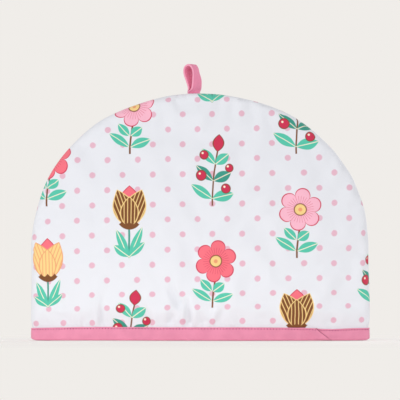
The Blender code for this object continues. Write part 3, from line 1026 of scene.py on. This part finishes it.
def band_rows():
    """The strip's rows: (share of the inside plan, way off the face, height, distance across)."""
    leg = np.array([12.6, 12.3, 11.9, 11.55, 11.2, 10.85, 10.4, 9.4, 8.0, 6.4, 4.8, 3.4]) * MM
    outer = [(0.0, 0.0, height) for height in leg]
    for k in range(ROUND_STEPS + 1):
        a = 0.5 * math.pi * k / ROUND_STEPS
        outer.append((0.0, -BAND_ROUND * (1.0 - math.cos(a)), BAND_ROUND * (1.0 - math.sin(a))))
    middle = [(0.35, -BAND_ROUND, 0.0), (0.65, -BAND_ROUND, 0.0)]
    inner = [(1.0, off, height) for share, off, height in reversed(outer)]
    rows = outer + middle + inner
    across = [0.0]
    for (s0, o0, h0), (s1, o1, h1) in zip(rows, rows[1:]):
        across.append(across[-1] + math.hypot(o1 - o0, h1 - h0) + abs(s1 - s0) * UNDER_WIDE)
    return np.column_stack([rows, across])


def hem_level(reach, height):
    """The level of a place on the strip, from its height on an even one."""
    way, low, high = np.array(HEM_LINE).T * MM
    shifts = np.array([-4.0, -2.0, 0.0, 2.0, 4.0]) * MM
    low, high = [evened(reach - reach_of(0.0), way, edge, shifts, HEM_LENGTH) for edge in (low, high)]
    rise = ease(height, BAND_ROUND, BAND_HEIGHT)
    return height + low * (1.0 - rise) + (high - BAND_HEIGHT) * rise


def raised_by_lap(to_end):
    """How far the strip stands up to lie on its start, at a distance before its end."""
    return LAP_RAISE * (1.0 - ease(to_end, LAP, LAP + LAP_EASE))


ROWS = band_rows()
STRIP_START = reach_of(JOIN_X) - LAP
band, i, j = grid_of_cloth(BAND_COLUMNS, len(ROWS) - 1, "binding_cloth")
share, off, height, across = ROWS[len(ROWS) - 1 - j].T
whole = HEM_LENGTH + LAP
run = np.interp(
    i,
    [0, CROWDED_COLUMNS, BAND_COLUMNS - CROWDED_COLUMNS, BAND_COLUMNS],
    [0.0, CROWDED_RUN, whole - CROWDED_RUN, whole],
)
reach = STRIP_START + run + across * JOIN_SLANT
over = raised_by_lap(whole - run)
under = LAP_SINK * (1.0 - ease(run, *LAP_PRESSED))
under += CREASE_DEEP * hump(run - LAP - CREASE_OUT, CREASE_HALF)
from_stitch = BAND_HEIGHT - height - STITCH_DOWN
puff = np.sin(reach / (5.1 * MM) - height / (3.0 * MM)) + np.sin(reach / (8.7 * MM) + height / (4.0 * MM))
puff *= PUFF * ease(height, *PUFF_STARTS)
ruck = np.sin(reach / (1.05 * MM) + 1.3 * np.sin(reach / (6.0 * MM)))
puff += PUCKER * ruck * hump(from_stitch, PUCKER_REACH)
upright = ease(height, 0.0, BAND_ROUND)
shift = off + (over - under) * upright - GROOVE_DEEP * hump(from_stitch, GROOVE_WIDE)
shift += puff * ease(BAND_HEIGHT - height, 0.0, PUFF_ENDS)
on_outside, on_inside = [on_plan(plan, reach, shift) for plan in PLANS]
flat = on_outside * (1.0 - share)[:, None] + on_inside * share[:, None]
lift = under * 1.5 * (1.0 - upright)
set_coordinates(band.data, np.column_stack([flat, hem_level(reach, height) + lift]))
lay_out(band.data, np.column_stack([reach - STRIP_START, across]))
weigh(band, "thickness", 1.0 - PRESSED_THIN * np.minimum(1.0, under / LAP_SINK))
bpy.context.view_layer.objects.active = band
thick = band.modifiers.new("cloth", "SOLIDIFY")
thick.thickness = BAND_CLOTH
thick.offset = -1.0
thick.vertex_group = "thickness"
edge = band.modifiers.new("fold", "BEVEL")
edge.width = BAND_EDGE
edge.segments = 2
edge.limit_method = "ANGLE"
edge.angle_limit = math.radians(60.0)
for modifier in ("cloth", "fold"):
    bpy.ops.object.modifier_apply(modifier=modifier)
band.data.shade_smooth()


def pink_cotton(name, colour, marks, mark_colour):
    """Dyed cotton cut on the bias, a little cloudy, with marks in a second colour, which its callers use
    for painted shade and painted highlight.
    """
    cotton = Finish(bpy.data.materials.new(name))
    cloth, along_it, across_it = cotton.cloth()
    cloudy = cotton.ramp(cotton.noise(cloth, 75.0, 3.0), 0.36, 0.64)
    paler = tuple(min(1.0, 1.06 * part + 0.015) for part in colour[:3])
    dyed = cotton.mix(cloudy, colour, (*paler, 1.0))
    dyed = cotton.mix(marks(cotton, cloth, along_it, across_it), dyed, mark_colour)
    cotton.feed(cotton.shader, {"Base Color": dyed})
    on_bias = cotton.node("Mapping", {}, {"Vector": cloth, "Rotation": (0.0, 0.0, math.radians(45.0))})
    weave(cotton, on_bias, 0.45)
    return cotton.owner


STITCHES = 234  # in each of the two rows
STITCH_PITCH = HEM_LENGTH / STITCHES
STRIP_MIDDLE = ROWS[-1][3] / 2.0
# The needle's holes and the crease beside the strip's end are painted darker pink: painted shade where
# the holes and the crevice at the lap hold shadow.
HOLE_RADIUS = 0.5 * MM
CREASE_WIDE = 1.2 * MM
BINDING_PINK = paint(223, 140, 168)
HOLE_SHADE_PINK = paint(170, 82, 120)


def painted_hole_and_crease_shade(cotton, cloth, along_it, across_it):
    """1 where shade is painted: in the needle's holes at the stitches' ends, and in the crease beside the
    strip's own end.
    """
    count_along = (along_it - LAP) / STITCH_PITCH
    along_row = abs((count_along + 0.5).math("FRACT") - 0.5) * STITCH_PITCH
    off_row = abs(abs(across_it - STRIP_MIDDLE) - (STRIP_MIDDLE - STITCH_DOWN))
    # Painted shade in the needle's holes.
    hole = inside((length_of(along_row, off_row) - HOLE_RADIUS) / HOLE_RADIUS, 0.5)
    hole = hole * cotton.ramp(cotton.noise(cloth, 55.0, 1.0), 0.38, 0.6, start=0.45)
    # Painted shade along the crease beside the strip's end, where its lapped edge stands over the start.
    from_crease = abs(along_it - across_it * JOIN_SLANT - LAP - CREASE_WIDE / 2.0) - CREASE_WIDE / 2.0
    return hole.math("MAXIMUM", inside(from_crease / CREASE_WIDE, 0.5))


band.data.materials.clear()
band.data.materials.append(pink_cotton("pink_binding", BINDING_PINK, painted_hole_and_crease_shade, HOLE_SHADE_PINK))

# The stitches: one short thread after another, sunk a little in the band, outside and inside.
STITCH_LONG = 2.4 * MM
STITCH_SUNK = 0.2 * MM
THREAD_WIDE = 0.42 * MM
THREAD_DARK = paint(178, 88, 124)
THREAD_LIGHT = paint(208, 118, 150)
THREAD_FADED = paint(226, 142, 170)


def stitch(one, plan, middle):
    """One thread's corners, turned to lie in its row at a length along the hem."""
    ends = middle + np.array([-0.5, 0.5]) * STITCH_LONG
    to_end = HEM_LENGTH + STRIP_START + LAP + STITCH_DOWN * JOIN_SLANT - ends
    ends_at = on_plan(plan, ends, raised_by_lap(to_end) - STITCH_SUNK)
    direction = unit(np.diff(ends_at, axis=0))[0]
    centre = ends_at.mean(axis=0)
    x = one[:, 0] * direction[0] - one[:, 1] * direction[1] + centre[0]
    y = one[:, 0] * direction[1] + one[:, 1] * direction[0] + centre[1]
    return np.column_stack([x, y, one[:, 2] + hem_level(middle, BAND_HEIGHT - STITCH_DOWN)])


bpy.ops.object.select_all(action="DESELECT")
bpy.ops.mesh.primitive_uv_sphere_add(
    segments=6, ring_count=5, radius=0.5, rotation=(0.0, math.pi / 2.0, 0.0)
)
thread = bpy.context.object
thread.name = "binding_stitches"
bpy.ops.object.transform_apply(location=False, rotation=True, scale=False)
one = coordinates(thread.data) * [STITCH_LONG, THREAD_WIDE, THREAD_WIDE]
corners = [tuple(face.vertices) for face in thread.data.polygons]
all_places = []
all_faces = []
for plan in PLANS:
    for k in range(STITCHES):
        start = len(all_places) * len(one)
        all_faces.extend([tuple(start + v for v in face) for face in corners])
        all_places.append(stitch(one, plan, STRIP_START + LAP + (k + 0.5) * STITCH_PITCH))
sewing = bpy.data.meshes.new("binding_stitches")
sewing.from_pydata(np.vstack(all_places).tolist(), [], all_faces)
old = thread.data
thread.data = sewing
bpy.data.meshes.remove(old)
sewing.shade_smooth()
yarn = Finish(bpy.data.materials.new("sewing_thread"))
place_on = yarn.node("TexCoord", {}, {}, output="Object")
spun = yarn.mix(yarn.noise(place_on, 2500.0, 2.0), THREAD_DARK, THREAD_LIGHT)
faded = yarn.ramp(yarn.noise(place_on, 45.0, 1.0), 0.40, 0.62, end=0.55)
yarn.feed(yarn.shader, {"Base Color": yarn.mix(faded, spun, THREAD_FADED), "Roughness": 0.6})
sewing.materials.append(yarn.owner)

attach(band, "root")
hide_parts("hem_binding")
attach(thread, "root")


# ---- Hanging loop --------------------------------------------------------------------------------
# A short tape of the same pink cotton, folded to four layers and pressed. Both of its ends are caught
# in the top seam, and it stands up in a ring that has turned a little to one side.
TAPE_WIDE = 12.5 * MM
TAPE_THICK = 2.2 * MM
LOOP_TURN = math.radians(40.0)
TURN_ABOVE = 4.5 * MM  # over which it turns
COURSE_STEPS = 12  # between two points of the course
TAPE_ROUND = 1.0 * MM
TAPE_STITCH_IN = 1.9 * MM  # from the tape's edge to the stitching that dents it
TAPE_DENT = 0.32 * MM
TAPE_DENT_WIDE = 0.5 * MM
RIPPLE = 0.10 * MM
RIPPLE_LONG = 2.6 * MM
TAPE_PINK = paint(232, 138, 169)
# Paler pink along the tape's folded edges, over this width and share: a painted highlight where the folds
# catch the light.
EDGE_HIGHLIGHT_PINK = paint(244, 168, 192)
EDGE_HIGHLIGHT_WIDE = 0.9  # millimetres
EDGE_HIGHLIGHT_SHARE = 0.75

# The tape's course, across and up in millimetres above the seam. Its two legs are the same at its
# front edge and its back edge, and at the top the back edge leans over.
FIRST_LEG = [(-1.2, -5.0), (-1.2, 0.5), (-1.7, 6.2), (-4.5, 12.6)]
FRONT_BEND = [(-8.4, 20.8), (-7.6, 26.9), (-1.6, 28.8), (3.6, 25.8), (5.9, 20.2), (5.4, 12.0)]
BACK_BEND = [(-8.4, 20.0), (-8.2, 26.2), (-4.6, 29.4), (-0.8, 26.4), (1.4, 20.6), (4.4, 13.6)]
LAST_LEG = [(4.3, 6.0), (2.6, 2.5), (1.4, 0.2), (1.2, -5.0)]


def smooth_course(points):
    """A smooth line through the points."""
    rows = np.array(points) * MM
    rows = np.vstack([2.0 * rows[0] - rows[1], rows, 2.0 * rows[-1] - rows[-2]])
    smooth = []
    for a, b, c, d in zip(rows, rows[1:], rows[2:], rows[3:]):
        for t in np.arange(COURSE_STEPS) / COURSE_STEPS:
            pull = (c - a) * t + (2.0 * a - 5.0 * b + 4.0 * c - d) * t * t
            smooth.append(b + 0.5 * (pull + (3.0 * b - a - 3.0 * c + d) * t**3))
    return np.array(smooth + [rows[-2]])


def tape_section():
    """Half of the tape's thickness across its width: full, rounded at the folds, dented by stitches."""
    half = TAPE_WIDE / 2.0
    side = np.array([-1.0, -0.985, -0.95, -0.89, -0.80, -0.72, -0.64, -0.5, -0.25, 0.0])
    side = np.concatenate([side, -side[-2::-1]])
    edge_in = half - np.abs(side) * half
    thickness = edge_round(edge_in, TAPE_ROUND) * (TAPE_THICK / (2.0 * TAPE_ROUND))
    return side * half, thickness - TAPE_DENT * hump(edge_in - TAPE_STITCH_IN, TAPE_DENT_WIDE)


def folded_edge_highlight(cotton, cloth, along_it, across_it):
    """Marks the tape's folded edges with a painted highlight, paler where the folds catch the light."""
    from_middle = abs(across_it) * (1.0 / MM)
    return inside(TAPE_WIDE / (2.0 * MM) - EDGE_HIGHLIGHT_WIDE - from_middle, 0.5) * EDGE_HIGHLIGHT_SHARE


front_edge = smooth_course(FIRST_LEG + FRONT_BEND + LAST_LEG)
back_edge = smooth_course(FIRST_LEG + BACK_BEND + LAST_LEG)
length = reach_along((front_edge + back_edge) / 2.0)[-1]
wide, half_thick = tape_section()
ring_wide = np.concatenate([wide, wide[-2:0:-1]])
ring_thick = np.concatenate([half_thick, -half_thick[-2:0:-1]])
last = len(front_edge) - 1
tape, i, j = grid_of_cloth(last, len(ring_wide), "loop_tape")
j = j % len(ring_wide)
share = (0.5 - ring_wide[j] / TAPE_WIDE)[:, None]
point = front_edge[i] * (1.0 - share) + back_edge[i] * share
step = np.gradient(front_edge, axis=0)[i] * (1.0 - share) + np.gradient(back_edge, axis=0)[i] * share
ripple = RIPPLE * np.sin(i / last * length / RIPPLE_LONG) * np.sign(ring_thick[j])
ripple *= 1.0 - np.abs(ring_wide[j]) / (TAPE_WIDE / 2.0)
ways = point + unit(aside(step)) * (ring_thick[j] + ripple)[:, None]
turn = LOOP_TURN * ease(ways[:, 1], 0.0, TURN_ABOVE)
x = ROOT_X + ways[:, 0] * np.sin(turn) - ring_wide[j] * np.cos(turn)
y = -ways[:, 0] * np.cos(turn) - ring_wide[j] * np.sin(turn)
set_coordinates(tape.data, np.column_stack([x, y, BODY_HEIGHT + ways[:, 1]]))
lay_out(tape.data, np.column_stack([i / last * length, ring_wide[j]]))
edit_whole(tape)
bpy.ops.mesh.remove_doubles(threshold=MERGE)
bpy.ops.mesh.select_all(action="DESELECT")
bpy.ops.mesh.select_non_manifold()
bpy.ops.mesh.fill()
bpy.ops.mesh.select_all(action="SELECT")
bpy.ops.mesh.normals_make_consistent(inside=False)
bpy.ops.object.mode_set(mode="OBJECT")
tape.data.materials.clear()
# The tape's folded edges carry a painted highlight.
tape.data.materials.append(pink_cotton("pink_tape", TAPE_PINK, folded_edge_highlight, EDGE_HIGHLIGHT_PINK))
tape.data.shade_smooth()
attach(tape, "root")
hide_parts("hanging_loop")


# ---- Studio --------------------------------------------------------------------------------------
# A pale floor that fades into an equally pale surround, soft light from all sides, a stronger soft
# light at the left, and the camera in front, far off on a long lens.
BACKDROP = paint(240, 237, 233)
FLOOR_TONE = (0.985, 0.96, 0.93, 1.0)
FLOOR_FADE = (0.10, 0.62)  # distance from the cosy over which the floor fades, metres
UNDER_HEM = (0.150, 0.034, 1.0)  # half sizes of the clear oval that lets light into the hollow
FLOOR_RADIUS = FLOOR_FADE[1] + 0.05
FLOOR_LEVEL = -0.05 * MM
SURROUND_LIGHT = (1.0, 0.99, 1.0, 1.0)
SURROUND_STRENGTH = 0.742
CAMERA_DISTANCE = 2.012
CAMERA_ASIDE = -0.4 * MM
CAMERA_HEIGHT = 20.0 * MM
AIM_HEIGHT = 141.2 * MM
LENS = 180.0  # millimetres
LIGHTS = [
    # name, place, aimed at, width, height, watts, full angle in degrees
    ("key", (-1.8, -1.1, 0.3), (0.0, 0.0, 0.10), 0.5, 0.5, 10.6, 180.0),
    ("fill", (0.85, -1.95, 0.15), (0.0, 0.0, 0.08), 0.6, 0.6, 9.4, 180.0),
    ("low", (0.12, -0.9, 0.36), (0.06, -0.12, 0.0), 0.9, 0.12, 0.06, 24.0),
    ("behind", (0.8, 1.9, 0.6), (0.0, 0.0, 0.12), 0.8, 0.8, 12.0, 180.0),
]

camera_data = bpy.data.cameras.new("camera")
camera_data.lens = LENS
camera = bpy.data.objects.new("camera", camera_data)
camera.location = (CAMERA_ASIDE, -CAMERA_DISTANCE, CAMERA_HEIGHT)
rise = math.atan2(AIM_HEIGHT - CAMERA_HEIGHT, CAMERA_DISTANCE)
camera.rotation_euler = (math.pi / 2.0 + rise, 0.0, 0.0)
bpy.context.scene.collection.objects.link(camera)
bpy.context.scene.camera = camera
bpy.context.scene.view_settings.view_transform = "Standard"

bpy.context.scene.world = bpy.data.worlds.new("surround")
around = Finish(bpy.context.scene.world)
light = around.node("Background", {}, {"Color": SURROUND_LIGHT, "Strength": SURROUND_STRENGTH})
seen = around.node("Background", {}, {"Color": BACKDROP, "Strength": 1.0})
by_camera = around.node("LightPath", output=0)
both = around.node("MixShader", {}, {0: by_camera, 1: light, 2: seen})
around.feed(around.tree.nodes["World Output"], {"Surface": both})

bpy.ops.mesh.primitive_circle_add(
    vertices=96, radius=FLOOR_RADIUS, fill_type="NGON", location=(0.0, 0.0, FLOOR_LEVEL)
)
floor = bpy.context.object
floor.name = "floor"
board = Finish(bpy.data.materials.new("floor"))
board.feed(board.shader, {"Base Color": FLOOR_TONE, "Roughness": 0.9, "Specular IOR Level": 0.0})
place_on = board.node("TexCoord", {}, {}, output="Object")
away = board.node("VectorMath", {"operation": "LENGTH"}, {0: place_on}, output="Value")
faded = board.ramp(away, *FLOOR_FADE, kind="SMOOTHSTEP")
clear = board.node("BsdfTransparent")
solid = Signal(board, board.shader.outputs["BSDF"])
from_below = board.node("NewGeometry", output="Backfacing")
in_hem = board.node("VectorMath", {"operation": "DIVIDE"}, {0: place_on, 1: UNDER_HEM}, output="Vector")
out_of_hem = board.node("VectorMath", {"operation": "LENGTH"}, {0: in_hem}, output="Value")
open_under = out_of_hem.math("LESS_THAN", 1.0)
seen_through = faded.math("MAXIMUM", from_below).math("MAXIMUM", open_under)
blend = board.node("MixShader", {}, {0: seen_through, 1: solid, 2: clear})
board.feed(board.tree.nodes["Material Output"], {"Surface": blend})
floor.data.materials.append(board.owner)

for name, place_at, aimed_at, wide, tall, watts, angle in LIGHTS:
    data = bpy.data.lights.new(name, "AREA")
    data.shape = "RECTANGLE"
    data.size = wide
    data.size_y = tall
    data.energy = watts
    data.spread = math.radians(angle)
    lamp = bpy.data.objects.new(name, data)
    lamp.visible_camera = False
    lamp.location = place_at
    lamp.rotation_euler = (Vector(aimed_at) - Vector(place_at)).to_track_quat("-Z", "Y").to_euler()
    bpy.context.scene.collection.objects.link(lamp)
